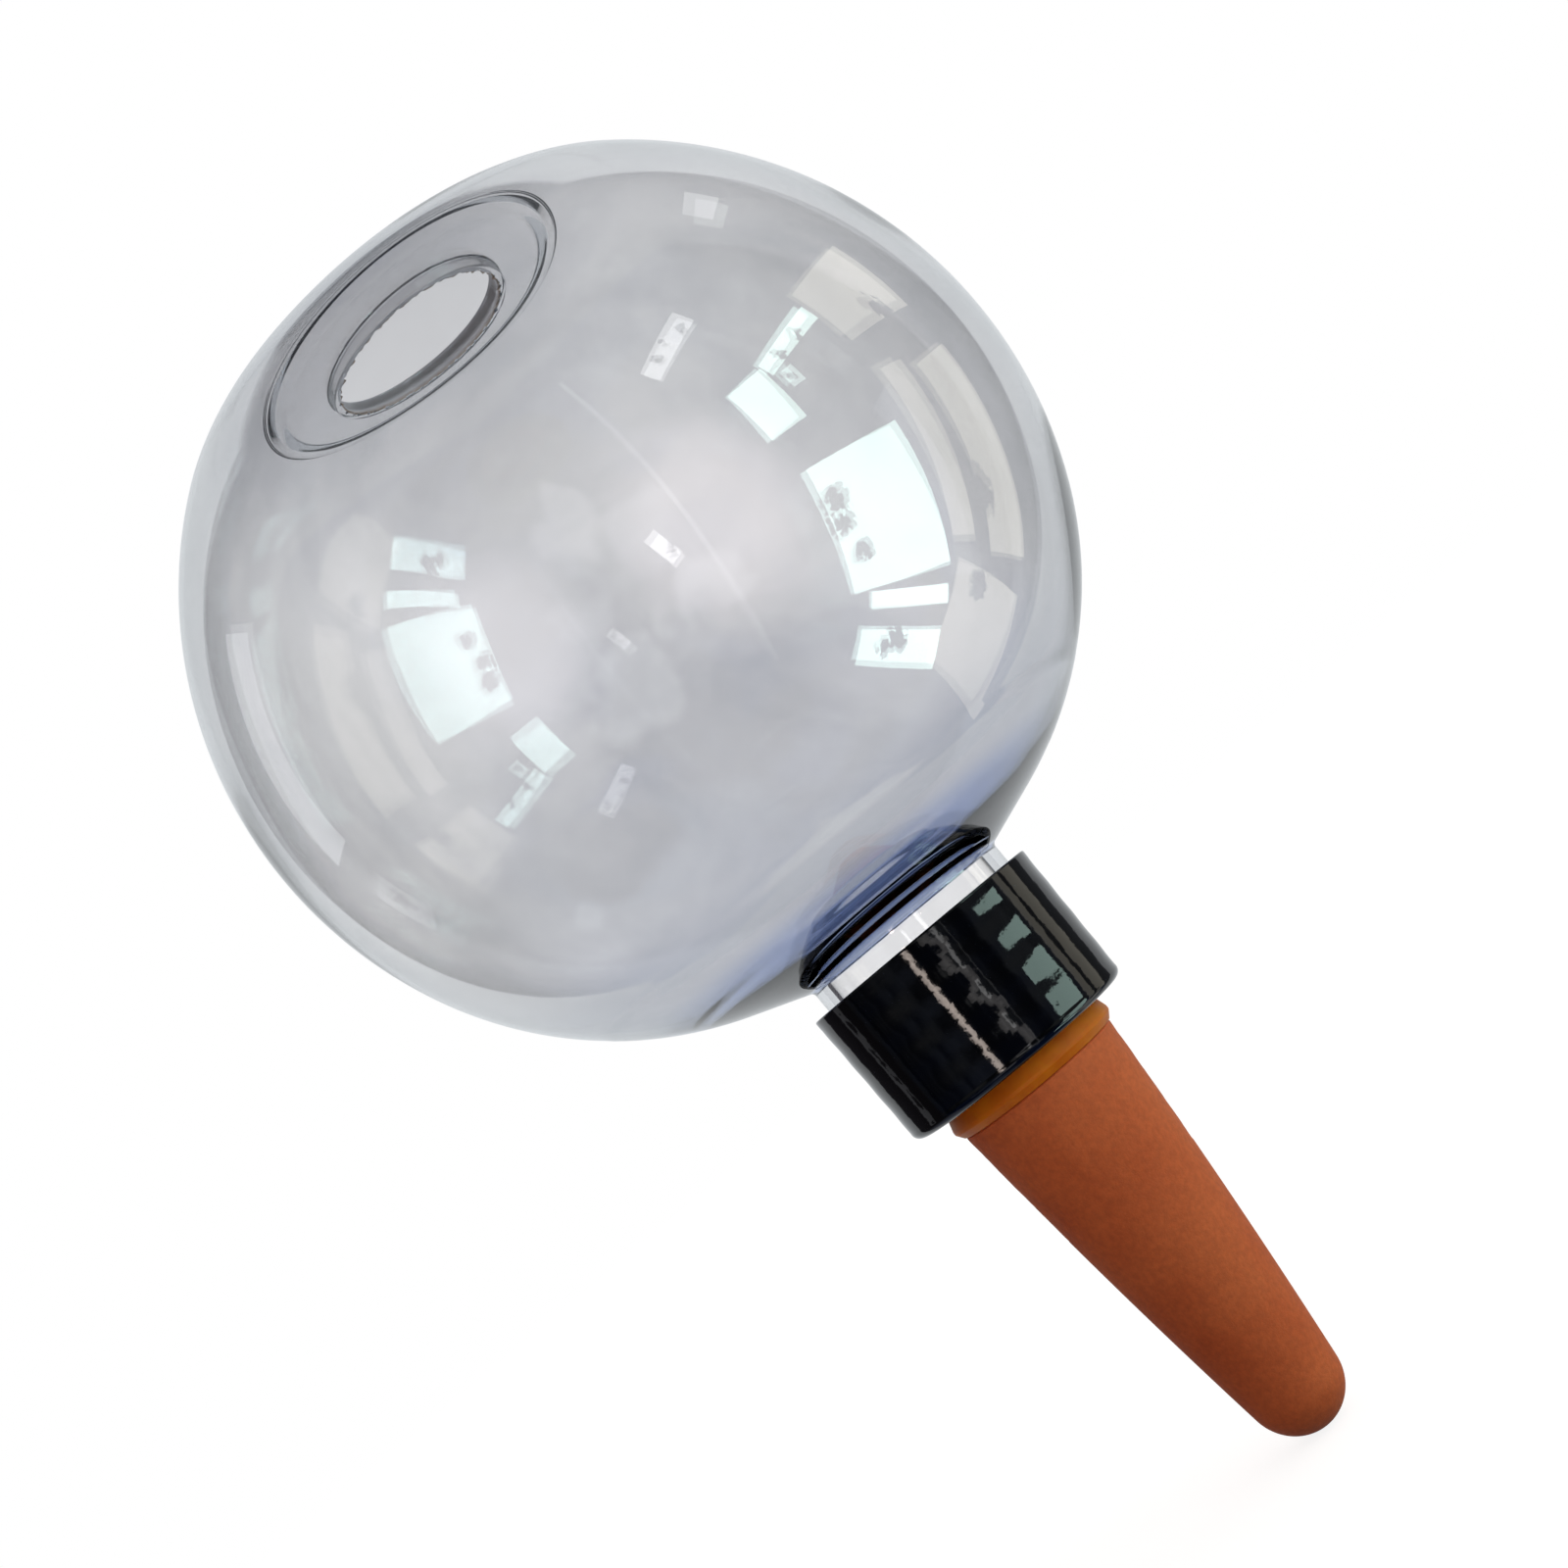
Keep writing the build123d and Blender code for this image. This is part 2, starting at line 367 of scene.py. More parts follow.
moulded = add_node(tree, "ShaderNodeBsdfPrincipled",
                   {"Base Color": linear("#040405"), "Roughness": gloss.outputs["Result"],
                    "IOR": 1.49, "Specular IOR Level": 0.34, "Normal": cap_bump.outputs["Normal"]})
add_node(tree, "ShaderNodeOutputMaterial", {"Surface": moulded.outputs["BSDF"]})

bore_foot_z = cap_low.z + cap_end_wall
cap_top = rounded([
    (cap_seam_r, cap_high.z, 0),
    (cap_high.x, cap_high.z, cap_edge),
    (cap_foot_r, cap_low.z, 0),
])[:-1]
cap_foot = rounded([
    (cap_high.x, cap_high.z, 0),
    (cap_foot_r, cap_low.z, cap_corner),
    (cap_hole_r, cap_low.z, cap_edge),
    (cap_hole_r, bore_foot_z, cap_edge),
    (cap_bore_r, bore_foot_z, cap_edge),
    (cap_bore_r, bore_foot_z + cap_thread_margin, 0),
])
down = np.linspace(0, 1, 90)[1:-1, None]
threaded = np.linspace(bore_foot_z + cap_thread_margin, cap_high.z - cap_thread_margin, 90)
cap_mouth = rounded([
    (cap_bore_r, threaded[-1] + 0.1 * mm, 0),
    (cap_bore_r, cap_high.z, cap_edge),
    (cap_seam_r, cap_high.z, 0),
])
cap_section = np.concatenate([
    cap_top,
    cap_top[-1] * (1 - down) + cap_foot[1] * down,
    cap_foot[1:-1],
    np.column_stack([np.full(len(threaded), cap_bore_r), threaded]),
    cap_mouth[:-1],
])
cap = turned("black_cap", cap_section, black, ring=True, shift=cap_shift)
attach(cap, "cap")
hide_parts("screw_cap")

# Globe. A bottle blown from clear polyester: a sphere that flattens towards its shoulder, with
# a moulded screw neck, where the wall is thickest. Its shallow dished base is on top, cut open
# for filling, with a thicker rim round the hole. The wall wanders a little inside.
globe_low, globe_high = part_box("globe")
globe_r = 50.0 * mm
globe_wall = 0.9 * mm
shoulder_angle = 115.8  # degrees from straight up, where the belly becomes the shoulder
shoulder_arc_r = 0.888 * globe_r
shoulder_cone_r = 20.0 * mm
base_angle = 43.3  # degrees from straight up, where the belly becomes the base ring
base_arc_r = 0.46 * globe_r
neck_r = 12.95 * mm
neck_bore_r = 10.85 * mm
neck_length = 16.3 * mm
neck_heel = 1.8 * mm
neck_fillet = 0.6 * mm
neck_inner_fillet = 2.5 * mm
neck_thickening = 0.4 * mm
neck_thick_from = 130  # degrees from straight up, where the wall starts to thicken
neck_thread_height = 0.65 * mm
neck_thread_width = 1.7 * mm
neck_edge = 0.35 * mm
neck_top_margin = 1.6 * mm  # plain neck above and below the rows that carry the thread
neck_foot_margin = 0.6 * mm
ring_r = 21.5 * mm
ring_edge = 0.1 * mm
ring_land_r = 19.6 * mm
ring_groove_r = 21.3 * mm
ring_groove = 0.2 * mm
dish_r = 18.4 * mm
dish_depth = 0.6 * mm
dish_wall = 0.9 * mm
dish_round = 1.6 * mm
fill_r = 11.6 * mm
fill_rim_r = 12.6 * mm
fill_rim_rise = 0.2 * mm  # above the dish
fill_rim_height = 2.2 * mm
fill_root = 0.2 * mm
fill_edge = 0.2 * mm
fill_seam_r = fill_r + 0.7 * mm  # where the closed section starts and ends
sawn_chip = 0.13 * mm
wall_wander = 0.05 * mm

# Clear blown polyester. The wall is hardly tinted, but the light passes four surfaces of it, so
# the bottle reads as a light, cool grey, with a cloudy film of dust and lime. Both surfaces are
# mirror smooth, apart from the frosted wall of the sawn hole, whose inner edge carries a painted
# brownish refraction.
# The colour is darker in two places and lighter in four: (middle, reach, share, colour), in mm.
tone_patches = (
    ((-3, -42, 96), 30, 0.75, "#CACBCF"),
    ((-3, -45, 44), 26, 0.65, "#CCCDD1"),
    ((10, -48, 60), 15, 0.7, "#FDFBFC"),
    ((15, 44, 81), 17, 0.7, "#FDFBFC"),
    ((-12, -47, 63), 13, 0.6, "#FCFBFD"),
    ((-18, 43, 85), 16, 0.6, "#FCFBFD"),
)

# Towards the neck the wall grows thick and gathers the blue dusk of the room. These tints are a
# painted reflection of that dusk. The neck is clear again. Each is (full below, gone above,
# colour), in mm.
painted_dusk_bands = (
    (30, 44, "#D6D8DD"),
    (25, 31, "#9FAED2"),
    (22.2, 23.2, "#F8F8F9"),
)
frost = 0.55  # how much of the sawn wall's look is frosted
frost_through = 0.6  # how much of that passes light on
sawn_depth = 0.12 * mm  # how far from the hole's surface the frost reaches
# Painted refraction: the height over which the brownish tint fades out.
painted_brown_reach = 0.6 * mm  # how far up from the rim's back the brownish edge fades out
clear, tree = new_material("blown_clear_polyester")
place = add_node(tree, "ShaderNodeTexCoord").outputs["Object"]
film = add_node(tree, "ShaderNodeTexNoise",
                {"Vector": place, "Scale": 1 / (38 * mm), "Detail": 4, "Roughness": 0.55,
                 "Distortion": 0.8})
cloudy = add_node(tree, "ShaderNodeValToRGB", {"Fac": film.outputs["Fac"]})
cloudy.color_ramp.elements[0].position = 0.36
cloudy.color_ramp.elements[0].color = linear("#DEDFE1")
cloudy.color_ramp.elements[1].position = 0.62
cloudy.color_ramp.elements[1].color = linear("#EFEFF0")
film_colour_and_painted_dusk = cloudy.outputs["Color"]
for middle, reach, share, tint in tone_patches:
    away = add_node(tree, "ShaderNodeVectorMath",
                    {0: place, 1: Vector(middle) * mm}, operation="DISTANCE")
    near = add_node(tree, "ShaderNodeMapRange",
                    {"Value": away.outputs["Value"], "From Min": 0.3 * reach * mm,
                     "From Max": reach * mm, "To Min": share, "To Max": 0.0},
                    interpolation_type="SMOOTHSTEP")
    film_colour_and_painted_dusk = add_node(tree, "ShaderNodeMix",
                           {"Factor": near.outputs["Result"], "A": film_colour_and_painted_dusk,
                            "B": linear(tint)}, data_type="RGBA").outputs[2]
height = add_node(tree, "ShaderNodeSeparateXYZ", {"Vector": place})
# Painted reflection: the wall is tinted darker and bluer towards the neck.
for full_z, gone_z, tint in painted_dusk_bands:
    above = add_node(tree, "ShaderNodeMapRange",
                     {"Value": height.outputs["Z"], "From Min": full_z * mm,
                      "From Max": gone_z * mm},
                     interpolation_type="SMOOTHSTEP")
    film_colour_and_painted_dusk = add_node(tree, "ShaderNodeMix",
                           {"Factor": above.outputs["Result"], "A": linear(tint),
                            "B": film_colour_and_painted_dusk}, data_type="RGBA").outputs[2]
level = add_node(tree, "ShaderNodeVectorMath", {0: place, 1: (1, 1, 0)}, operation="MULTIPLY")
off_axis = add_node(tree, "ShaderNodeVectorMath", {0: level.outputs["Vector"]},
                    operation="LENGTH")
rim_z = globe_high.z - dish_depth + fill_rim_rise
rim_back_z = rim_z - fill_rim_height
in_base = add_node(tree, "ShaderNodeMath", {0: height.outputs["Z"], 1: rim_back_z - 1 * mm},
                   operation="GREATER_THAN")
on_bore = add_node(tree, "ShaderNodeMath", {0: off_axis.outputs["Value"],
                                            1: fill_r + sawn_depth}, operation="LESS_THAN")
sawn = add_node(tree, "ShaderNodeMath", {0: in_base.outputs["Value"],
                                         1: on_bore.outputs["Value"]}, operation="MULTIPLY")
# Painted refraction: the sawn wall is tinted brownish, fully at the rim's back and fading out above
# it.
painted_brown_share = add_node(tree, "ShaderNodeMapRange",
                    {"Value": height.outputs["Z"], "From Min": rim_back_z + fill_edge,
                     "From Max": rim_back_z + painted_brown_reach, "To Min": 1.0, "To Max": 0.0})
frost_and_painted_brown = add_node(tree, "ShaderNodeMix",
                {"Factor": painted_brown_share.outputs["Result"], "A": linear("#F4F6FA"),
                 "B": linear("#C8AE94")}, data_type="RGBA")
polyester = add_node(tree, "ShaderNodeBsdfPrincipled",
                     {"Base Color": film_colour_and_painted_dusk, "Roughness": 0.0,
                      "IOR": 1.575, "Transmission Weight": 1.0})
scattered = add_node(tree, "ShaderNodeBsdfDiffuse", {"Color": frost_and_painted_brown.outputs[2]})
passed = add_node(tree, "ShaderNodeBsdfTranslucent", {"Color": frost_and_painted_brown.outputs[2]})
frosted = add_node(tree, "ShaderNodeMixShader",
                   {0: frost_through, 1: scattered.outputs["BSDF"], 2: passed.outputs["BSDF"]})
frost_here = add_node(tree, "ShaderNodeMath", {0: sawn.outputs["Value"], 1: frost},
                      operation="MULTIPLY")
bottle = add_node(tree, "ShaderNodeMixShader",
                  {0: frost_here.outputs["Value"], 1: polyester.outputs["BSDF"],
                   2: frosted.outputs["Shader"]})
add_node(tree, "ShaderNodeOutputMaterial", {"Surface": bottle.outputs["Shader"]})

shoulder_z = globe_low.z + neck_length
shoulder_r = (globe_r - shoulder_arc_r) * np.sin(np.radians(shoulder_angle))
base_centre_r = (globe_r - base_arc_r) * np.sin(np.radians(base_angle))
cone_angle = 180 - np.degrees(np.arcsin((shoulder_cone_r - shoulder_r) / shoulder_arc_r))
ring_angle = np.degrees(np.arcsin((ring_r - base_centre_r) / base_arc_r))
cone_slope = np.tan(np.radians(180 - cone_angle))
cone_z = shoulder_z + (shoulder_cone_r - neck_r) * cone_slope
belly_z = (cone_z - shoulder_arc_r * np.cos(np.radians(cone_angle))
           - (globe_r - shoulder_arc_r) * np.cos(np.radians(shoulder_angle)))
shoulder_centre_z = belly_z + (globe_r - shoulder_arc_r) * np.cos(np.radians(shoulder_angle))
base_centre_z = belly_z + (globe_r - base_arc_r) * np.cos(np.radians(base_angle))
dish_z = globe_high.z - dish_depth


def globe_wall_line(inset, thickening=0):
    """Base ring, belly and shoulder from top to bottom: three arcs that touch, set in by a wall.

    The wall grows by the thickening along the shoulder, as the square of the way to its end.
    """
    lower = np.linspace(shoulder_angle, cone_angle, 44)
    grown = np.clip((lower - neck_thick_from) / (cone_angle - neck_thick_from), 0, 1) ** 2
    radius = shoulder_arc_r - inset - thickening * grown
    a = np.radians(lower)
    return np.concatenate([
        arc(base_centre_r, base_centre_z, base_arc_r - inset, ring_angle, base_angle, 26),
        arc(0, belly_z, globe_r - inset, base_angle, shoulder_angle, 62)[1:],
        np.column_stack([shoulder_r + radius * np.sin(a),
                         shoulder_centre_z + radius * np.cos(a)])[1:],
    ])


def globe_shift(r, z, t):
    """The neck's thread, the wander of the blown wall inside, and the hole's rough sawn edge.

    The wander is the sum of three sine waves, each with 2, 3 or 5 turns round the axis, that drift
    with the height. The sawn edge is the sum of three with 23, 41 and 67 turns.
    """
    on_neck = (np.abs(r - neck_r) < hair) & (z < shoulder_z - 3 * mm)
    ridge = thread(z, t, thread_start_z, neck_thread_width, neck_thread_height) * on_neck
    high = (z - belly_z) / globe_r
    inside = (np.hypot(r, z - belly_z) < globe_r - 0.5 * globe_wall) & (r > 25 * mm)
    wander = wall_wander * (np.sin(3 * t + 4 * high) + np.sin(5 * t - 7 * high + 1)
                            + np.sin(2 * t + 9 * high + 2)) * inside
    at_edge = (z < rim_back_z + fill_edge) & (z > rim_back_z - mm) & (r < fill_r + 0.5 * mm)
    chips = sawn_chip * (np.sin(23 * t) + np.sin(41 * t + 2) + np.sin(67 * t + 4)) * at_edge
    return ridge + wander + chips


outer, inner = globe_wall_line(0), globe_wall_line(globe_wall, neck_thickening)
heel_z = shoulder_z + neck_heel
dish_back_z = dish_z - dish_wall
neck_rows = np.linspace(shoulder_z - neck_top_margin, globe_low.z + neck_foot_margin, 80)
dish_line = rounded([
    (fill_seam_r, rim_z, 0),
    (fill_rim_r, rim_z, fill_edge),
    (fill_rim_r, dish_z, fill_root),
    (dish_r, dish_z, dish_round),
    (ring_land_r, globe_high.z - 0.04 * mm, ring_edge * 2),
    (ring_groove_r - 0.2 * mm, globe_high.z - 0.02 * mm, ring_edge),
    (ring_groove_r, globe_high.z - ring_groove, ring_edge),
    (*outer[0], ring_edge),
    (*outer[2], 0),
])
neck_outer = rounded([(*outer[-1], 0), (neck_r, shoulder_z, neck_fillet),
                      (neck_r, neck_rows[0], 0)])
neck_inner = rounded([
    (neck_r, neck_rows[-1], 0),
    (neck_r, globe_low.z, neck_edge),
    (neck_bore_r, globe_low.z, neck_edge),
    (neck_bore_r, heel_z, neck_inner_fillet),
    (*inner[-1], 0),
])
rim_line = rounded([
    (*inner[2], 0),
    (inner[0, 0] - 0.4 * mm, inner[0, 1] - 0.04 * mm, ring_edge * 2),
    (dish_r + 1.1 * mm, dish_back_z, dish_round),
    (fill_rim_r, dish_back_z, fill_root),
    (fill_rim_r, rim_back_z, fill_edge),
    (fill_r, rim_back_z, fill_edge),
    (fill_r, rim_z, fill_edge),
    (fill_seam_r, rim_z, 0),
])
globe_section = np.concatenate([
    dish_line,
    outer[3:-1],
    neck_outer[:-1],
    np.column_stack([np.full(len(neck_rows), neck_r), neck_rows])[:-1],
    neck_inner[:-1],
    inner[:2:-1],
    rim_line[:-1],
])
globe = turned("polyester_globe", globe_section, clear, columns=192, ring=True, shift=globe_shift)
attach(globe, "globe")
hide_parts("globe")

# The floor: a plain white board on which the spike's tip stands. It shows white to the camera
# and through the bottle, takes the object's shadow softly, and stays out of reflections.
floor_reach = 3.0
floor_gap = 0.02 * mm
floor_glow = 0.86  # with the light that the matt board sends back, this makes white
floor_matt = (0.3, 0.3, 0.3, 1)
board, tree = new_material("white_studio_board")
rays = add_node(tree, "ShaderNodeLightPath")
seen = add_node(tree, "ShaderNodeMath", {0: rays.outputs["Is Camera Ray"],
                                         1: rays.outputs["Is Transmission Ray"]},
                operation="MAXIMUM")
glow = add_node(tree, "ShaderNodeMath", {0: seen.outputs["Value"], 1: floor_glow},
                operation="MULTIPLY")
lit = add_node(tree, "ShaderNodeEmission", {"Strength": glow.outputs["Value"]})
matt = add_node(tree, "ShaderNodeBsdfDiffuse", {"Color": floor_matt})
both = add_node(tree, "ShaderNodeAddShader", {0: lit.outputs["Emission"],
                                              1: matt.outputs["BSDF"]})
mirrored = add_node(tree, "ShaderNodeMath", {0: rays.outputs["Glossy Depth"], 1: 0.5},
                    operation="GREATER_THAN")
unseen = add_node(tree, "ShaderNodeBsdfTransparent")
board_look = add_node(tree, "ShaderNodeMixShader",
                      {0: mirrored.outputs["Value"], 1: both.outputs["Shader"],
                       2: unseen.outputs["BSDF"]})
add_node(tree, "ShaderNodeOutputMaterial", {"Surface": board_look.outputs["Shader"]})
floor_mesh = bpy.data.meshes.new("studio_floor")
corner = np.array([(-1, -1, 0), (1, -1, 0), (1, 1, 0), (-1, 1, 0)]) * floor_reach
floor_mesh.from_pydata(corner + (0, 0, cad_low.z - floor_gap), [], [(0, 1, 2, 3)])
floor_mesh.materials.append(board)
floor = bpy.data.objects.new("studio_floor", floor_mesh)
bpy.context.scene.collection.objects.link(floor)

# The studio: white all round for the camera and through the bottle. In reflections a pale board
# stands behind the object, between two upright edges, on a grey table that fills the rest of
# that side. The room in front is dark, navy low down and grey high up, with soft shades, blue
# tints at the low left, and broad glows. Each of these is (azimuth, elevation, core, reach,
# strength), with the angles in degrees.
shades = (
    (0, 34, 10, 30, 0.9),
    (-8, -46, 8, 24, 0.8),
)
tints = (
    ("#9CAED0", (-72, -58, 10, 26, 0.9)),
    ("#1C3266", (-61, -43, 6, 16, 0.95)),
    ("#AEB4C2", (-43, -29, 4, 13, 0.7)),
)
glows = (
    (-8, 8, 3, 13, 0.7),
    (-18, -24, 4, 13, 0.9),
    (8, -22, 4, 12, 0.7),
    (-52, 22, 6, 28, 0.3),
    (40, 44, 4, 26, 0.3),
)
room_sway = 0.26  # how far noise moves a patch's outline, as a length beside the unit direction
board_top = 0.84
board_sides = ((-0.643, 0.766, 0), (0.682, 0.731, 0))  # each points inwards, across its edge
world = bpy.data.worlds.new("studio")
world.use_nodes = True
tree = world.node_tree
tree.nodes.clear()
rays = add_node(tree, "ShaderNodeLightPath")
way = add_node(tree, "ShaderNodeTexCoord").outputs["Generated"]
sides = add_node(tree, "ShaderNodeSeparateXYZ", {"Vector": way})
dim = add_node(tree, "ShaderNodeTexNoise",
               {"Vector": way, "Scale": 1.9, "Detail": 3, "Roughness": 0.5, "Distortion": 0.6})


def toward(azimuth, elevation):
    """The direction at an azimuth from the front to the right and an elevation, in degrees."""
    a, e = np.radians(azimuth), np.radians(elevation)
    return Vector((np.sin(a) * np.cos(e), -np.cos(a) * np.cos(e), np.sin(e)))


def step_up(value, low, high, top=1.0):
    """A smooth step in the world: 0 below low, rising to top at high."""
    step = add_node(tree, "ShaderNodeMapRange",
                    {"Value": value, "From Min": low, "From Max": high, "To Max": top},
                    interpolation_type="SMOOTHSTEP")
    return step.outputs["Result"]


def blended(factor, below, above):
    """A colour that goes from one to another, as a factor goes from 0 to 1."""
    return add_node(tree, "ShaderNodeMix", {"Factor": factor, "A": below, "B": above},
                    data_type="RGBA").outputs[2]


navy_below, grey_above = -0.55, 0.15
dark_room = blended(step_up(sides.outputs["Z"], navy_below, grey_above), linear("#1E3668"),
                    linear("#23272B"))
lit_room = blended(step_up(sides.outputs["Z"], navy_below, grey_above), linear("#4A66A4"),
                   linear("#8C9092"))
sway = add_node(tree, "ShaderNodeVectorMath",
                {0: dim.outputs["Color"], 1: (room_sway,) * 3, 2: way},
                operation="MULTIPLY_ADD").outputs["Vector"]


def patch(azimuth, elevation, core, reach, strength):
    """A soft round patch of the world, full within the core and gone beyond the reach.

    It is a smooth step over the cosine of the angle from its middle. The noise that sways its
    outline averages a half in each direction, which the step's two ends are moved by.
    """
    near = add_node(tree, "ShaderNodeVectorMath",
                    {0: sway, 1: toward(azimuth, elevation)}, operation="DOT_PRODUCT")
    average = room_sway / 2 * sum(toward(azimuth, elevation))
    return step_up(near.outputs["Value"], np.cos(np.radians(reach)) + average,
                   np.cos(np.radians(core)) + average, strength)


brightness = step_up(dim.outputs["Fac"], 0.36, 0.62)
for shade in shades:
    brightness = add_node(tree, "ShaderNodeMath", {0: brightness, 1: patch(*shade)},
                          operation="SUBTRACT", use_clamp=True).outputs["Value"]
room = blended(brightness, dark_room, lit_room)
for colour, where in tints:
    room = blended(patch(*where), room, linear(colour))
table = blended(step_up(sides.outputs["X"], -0.3, 0.3), linear("#3E3C42"), linear("#5C5F64"))
table_foot = blended(step_up(sides.outputs["X"], -0.2, 0.2), linear("#AEB6CE"), linear("#6A7CA4"))
table = blended(step_up(sides.outputs["Z"], -0.7, -0.3), table_foot, table)
room = blended(step_up(sides.outputs["Y"], -0.06, 0.06), room, table)
glow_light = 0.0
for glow in glows:
    glow_light = add_node(tree, "ShaderNodeMath",
                          {0: patch(*glow), 1: glow_light}).outputs["Value"]
glowing = add_node(tree, "ShaderNodeVectorMath", {0: linear("#F2F3F3")[:3], "Scale": glow_light},
                   operation="SCALE")
room = add_node(tree, "ShaderNodeVectorMath", {0: room, 1: glowing.outputs["Vector"]})
board_edges = [add_node(tree, "ShaderNodeVectorMath", {0: way, 1: edge},
                        operation="DOT_PRODUCT").outputs["Value"] for edge in board_sides]
between = add_node(tree, "ShaderNodeMath", {0: board_edges[0], 1: board_edges[1]},
                   operation="MINIMUM")
below_top = add_node(tree, "ShaderNodeMath", {0: board_top, 1: sides.outputs["Z"]},
                     operation="SUBTRACT")
on_board = add_node(tree, "ShaderNodeMath", {0: between.outputs["Value"],
                                             1: below_top.outputs["Value"]},
                    operation="MINIMUM")
seen_room = blended(step_up(on_board.outputs["Value"], 0.0, 0.025), room.outputs["Vector"],
                    linear("#DDE1E4"))
mirrored = add_node(tree, "ShaderNodeMath", {0: rays.outputs["Glossy Depth"], 1: 0.5},
                    operation="GREATER_THAN")
daylight = blended(step_up(sides.outputs["X"], -0.9, 0.9), linear("#8A6450"),
                   linear("#FFFCFA"))
around = blended(mirrored.outputs["Value"], daylight, seen_room)
straight = add_node(tree, "ShaderNodeMath", {0: rays.outputs["Is Transmission Ray"],
                                             1: mirrored.outputs["Value"]},
                    operation="SUBTRACT", use_clamp=True)
direct = add_node(tree, "ShaderNodeMath", {0: rays.outputs["Is Camera Ray"],
                                           1: straight.outputs["Value"]},
                  operation="MAXIMUM")
shown = blended(direct.outputs["Value"], around, (1.0, 1.0, 1.0, 1.0))
sky = add_node(tree, "ShaderNodeBackground", {"Color": shown, "Strength": 1.0})
add_node(tree, "ShaderNodeOutputWorld", {"Surface": sky.outputs["Background"]})
bpy.context.scene.world = world

# Soft boxes: a tall light to the right of the object, crossed by bars into panes, a wide warm
# one beside it, small ones above it, a faint one at the left, and a thin and a short one in
# front. Each is (azimuth, elevation, width, height, lean, brightness, colour, blots), in degrees
# as seen from the globe. A blot is (offset to the right, offset up, reach).
box_distance = 0.6
blot_noise = 7.0  # degrees of reach that the noise's whole range makes or takes
boxes = (
    (52.0, 6.0, 11, 13, 6, 7.0, "#D4F5EB", ()),
    (68.5, 15.0, 22, 3.5, 14, 7.0, "#D4F5EB", ((-5, -0.9, 1.3), (3, -1.2, 1.2))),
    (62.0, 8.5, 4, 4, 6, 4.0, "#D4F5EB", ((0, 0, 1.2),)),
    (66.0, -22.7, 29.5, 28.5, 5, 6.3, "#D4F5EB", ((-10.5, 6, 3.2), (-11.5, 1, 2.6), (-9, -6, 2.2))),
    (69.5, -41.0, 22.5, 4.0, -2, 7.0, "#D4F5EB", ()),
    (65.5, -51.5, 23.0, 8.0, -7, 7.0, "#D4F5EB", ((-1, 1.5, 2.8), (-4, 0, 2.0))),
    (95.0, 17.0, 26.0, 13, 5, 1.5, "#F3EDDB", ((3, -5, 2.5),)),
    (89.0, -13.0, 8, 32, 5, 1.4, "#F3EDDB", ()),
    (106.0, -13.0, 15, 33, 12, 1.3, "#F3EDDB", ((-7, -5, 4),)),
    (102.0, -45.5, 24.5, 22, -2, 1.4, "#F3EDDB", ((-4, 8, 3),)),
    (45.5, 28.5, 18.0, 4.4, 20, 3.2, "#F8FAFA", ((-4, 0, 1.2), (1, 0.9, 0.9), (5.5, -1, 1.1))),
    (103.0, 42.5, 10.5, 4.5, 0, 1.0, "#F8FAFA", ()),
    (-106.0, 20.0, 11, 34, 0, 0.9, "#E8EAF0", ()),
    (-106.0, -9.0, 8, 10, 0, 0.5, "#E8EAF0", ((1, 0, 2),)),
    (20.5, -2.0, 1.1, 80, 0, 0.6, "#F2F5F6", ()),
    (12.0, -6.5, 3.6, 8, 15, 3.4, "#FAFAFA", ((1, -1, 1.4),)),
)

# Two gridded strip lights streak the cap. Their beams are too narrow to reach the globe. Each is
# (azimuth, slant, width, brightness, colour, blot), and is built of short lamps one above the
# other, which are all aimed at the cap. The slant is the azimuth gained for each degree down. A
# blot's side alternates from lamp to lamp.
strip_distance = 0.3
strip_grid = 17.0
strip_aim = (cap_low.z + cap_high.z) / 2
strip_lamps = 4
strip_lamp_height = 3.1
strip_top = 0.5  # elevation of the highest lamp
strip_step = 3
strip_middle = -4  # elevation at which a strip has the azimuth that it is given
strip_blot_off = (3.2, 0.4)
strips = (
    (-18.0, 0.0, 6.5, 14.0, "#FBEADF", 2.0),
    (9.5, 1.6, 9.0, 1.9, "#F6F1F0", 0.0),
)


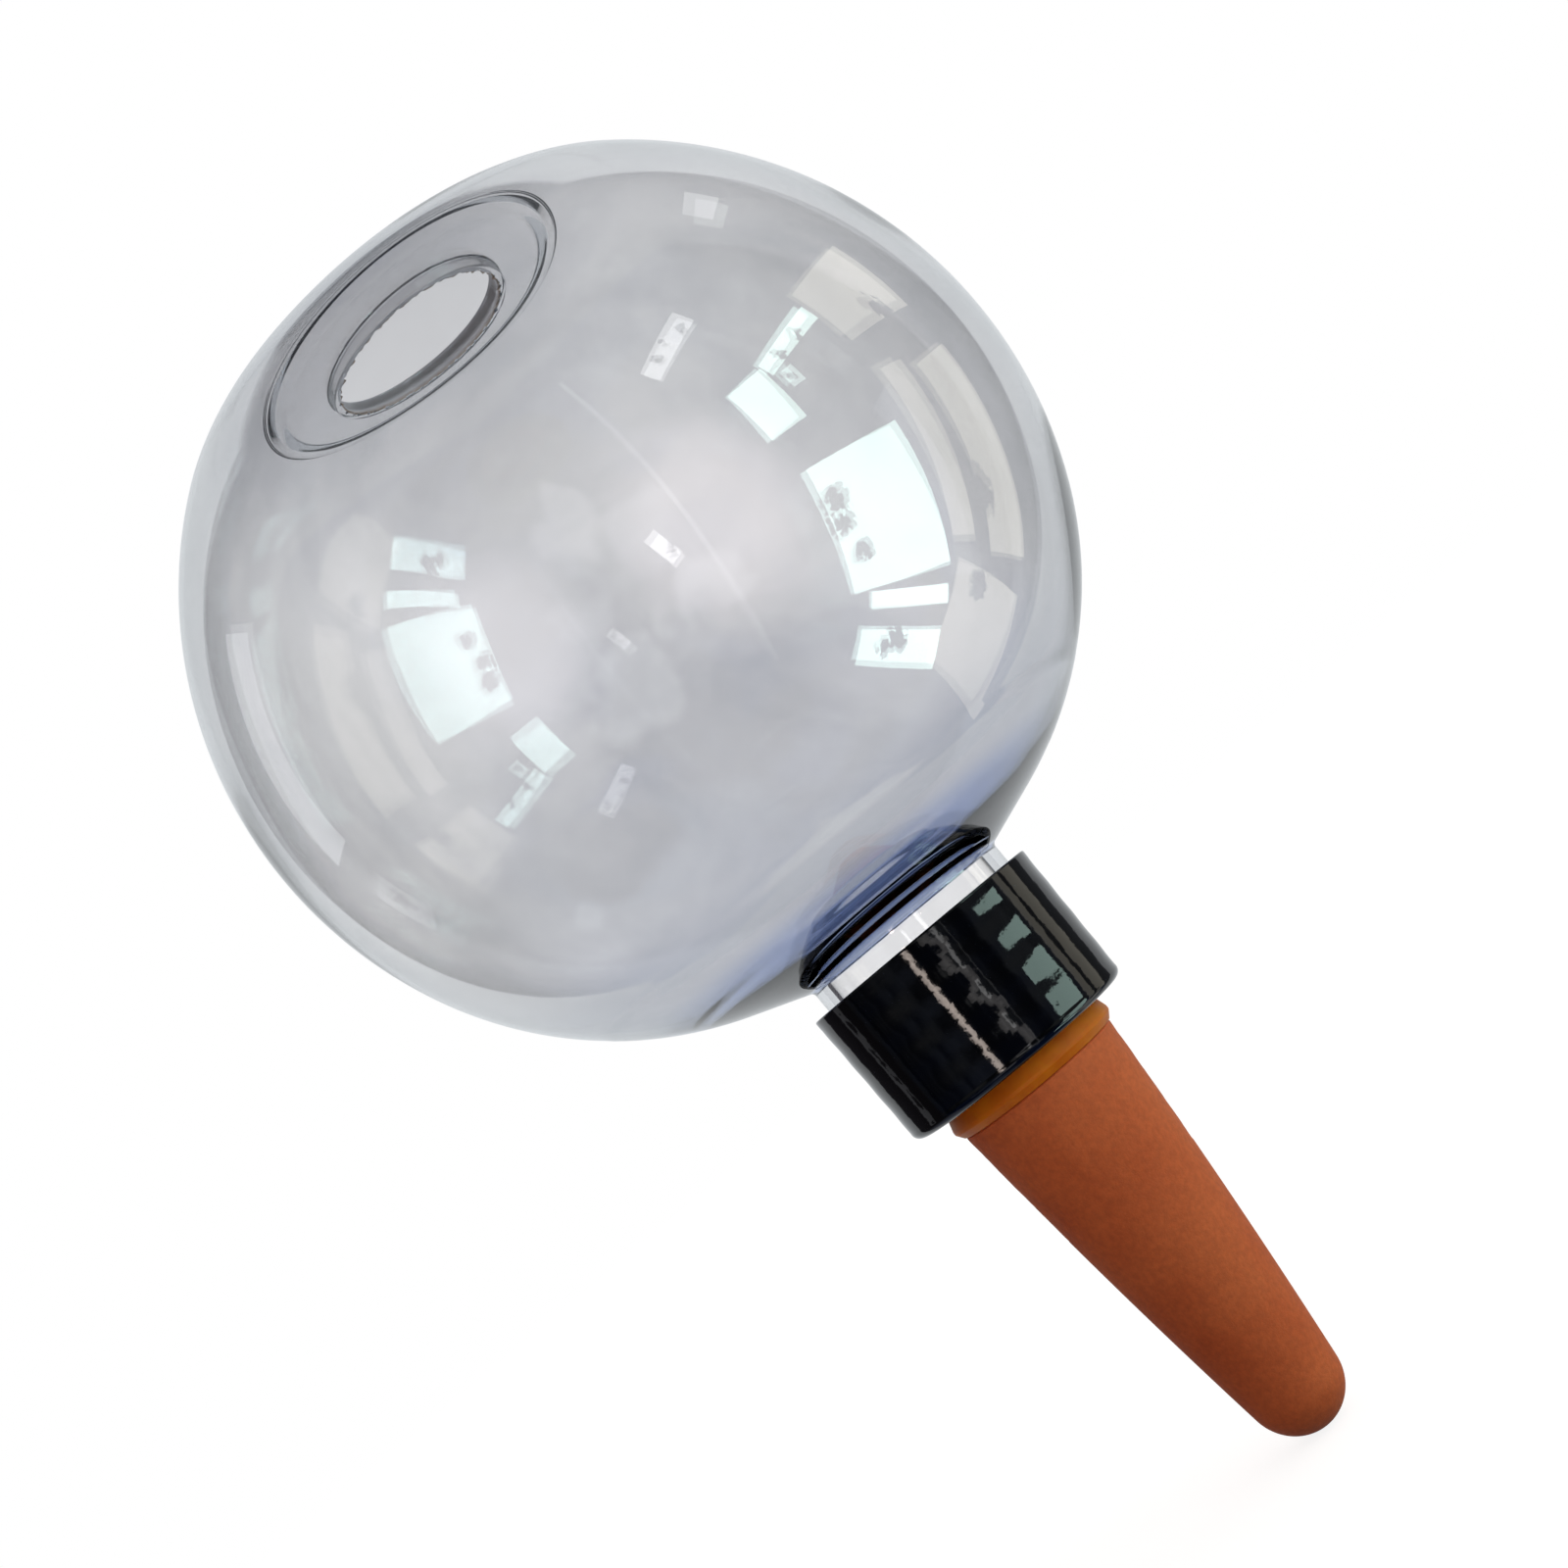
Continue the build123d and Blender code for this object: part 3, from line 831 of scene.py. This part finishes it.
def soft_box(name, azimuth, elevation, width, height, lean, brightness, colour, blots,
             distance=box_distance, aim=belly_z, grid=180.0):
    """A rectangular light aimed at a height on the axis. Its power is brightness * pi * area.

    A grid narrows its beam, and takes the share 1 - h / tan h of that power for half the angle h.
    A blot is dark where the distance from its middle, less some noise, is within its reach.
    """
    lamp = bpy.data.lights.new(name, "AREA")
    lamp.shape = "RECTANGLE"
    lamp.size, lamp.size_y = (2 * distance * np.tan(np.radians(size / 2))
                              for size in (width, height))
    lamp.spread = np.radians(grid)
    share = 1 - np.radians(grid / 2) / np.tan(np.radians(grid / 2))
    lamp.energy = brightness * np.pi * lamp.size * lamp.size_y * share
    lamp.color = linear(colour)[:3]
    lamp.use_nodes = True
    face = lamp.node_tree
    face.nodes.clear()
    spot = add_node(face, "ShaderNodeNewGeometry").outputs["Parametric"]
    placed = add_node(face, "ShaderNodeVectorMath", {0: spot, 1: (width, height, 0)},
                      operation="MULTIPLY").outputs["Vector"]
    ragged = add_node(face, "ShaderNodeTexNoise", {"Vector": placed, "Scale": 0.45, "Detail": 3,
                                                   "Roughness": 0.6}).outputs["Fac"]
    clear_of = 1.0
    for across, above, blot_reach in blots:
        middle = (width / 2 + across, height / 2 + above, 0)
        away = add_node(face, "ShaderNodeVectorMath", {0: placed, 1: middle},
                        operation="DISTANCE").outputs["Value"]
        rough = add_node(face, "ShaderNodeMath", {0: ragged, 1: -blot_noise, 2: away},
                         operation="MULTIPLY_ADD").outputs["Value"]
        edge = blot_reach - blot_noise / 2
        outside = add_node(face, "ShaderNodeMapRange",
                           {"Value": rough, "From Min": edge - 0.2, "From Max": edge + 0.1,
                            "To Min": 0.03, "To Max": 1.0})
        clear_of = add_node(face, "ShaderNodeMath",
                            {0: outside.outputs["Result"], 1: clear_of},
                            operation="MULTIPLY").outputs["Value"]
    shine = add_node(face, "ShaderNodeEmission", {"Strength": clear_of})
    add_node(face, "ShaderNodeOutputLight", {"Surface": shine.outputs["Emission"]})
    box = bpy.data.objects.new(name, lamp)
    back = toward(azimuth, elevation)
    side = toward(azimuth + 90, 0)
    turn = Matrix((side, back.cross(side), back)).transposed()
    turn = turn @ Matrix.Rotation(np.radians(lean), 3, "Z")
    box.matrix_world = Matrix.Translation(back * distance + Vector((0, 0, aim))) @ turn.to_4x4()
    box.visible_camera = False
    bpy.context.scene.collection.objects.link(box)


for number, box in enumerate(boxes):
    soft_box(f"box_{number}", *box)
for number, (azimuth, slant, width, brightness, colour, blot) in enumerate(strips):
    for step in range(strip_lamps):
        elevation = strip_top - strip_step * step
        leant = azimuth - slant * (elevation - strip_middle)
        blot_side, blot_up = strip_blot_off[0] * (-1) ** step, strip_blot_off[1]
        soft_box(f"strip_{number}_{step}", leant, elevation, width, strip_lamp_height, 0,
                 brightness, colour, ((blot_side, blot_up, blot),) if blot else (),
                 strip_distance, strip_aim, strip_grid)

# The camera looks at the object as the photograph does: level with the cap, a little from below,
# and rolled so that the spike points down to the right.
bpy.context.scene.view_settings.view_transform = "Standard"
lens = bpy.data.cameras.new("camera")
lens.lens = 47.92
lens.sensor_width = 36.0
camera = bpy.data.objects.new("camera", lens)
right = Vector((0.76696, 0.06652, -0.63824))
up = Vector((0.64170, -0.07950, 0.76283))
turn = Matrix((right, up, right.cross(up))).transposed().to_4x4()
camera.matrix_world = Matrix.Translation((-0.603 * mm, -232.509 * mm, 18.567 * mm)) @ turn
bpy.context.scene.collection.objects.link(camera)
bpy.context.scene.camera = camera
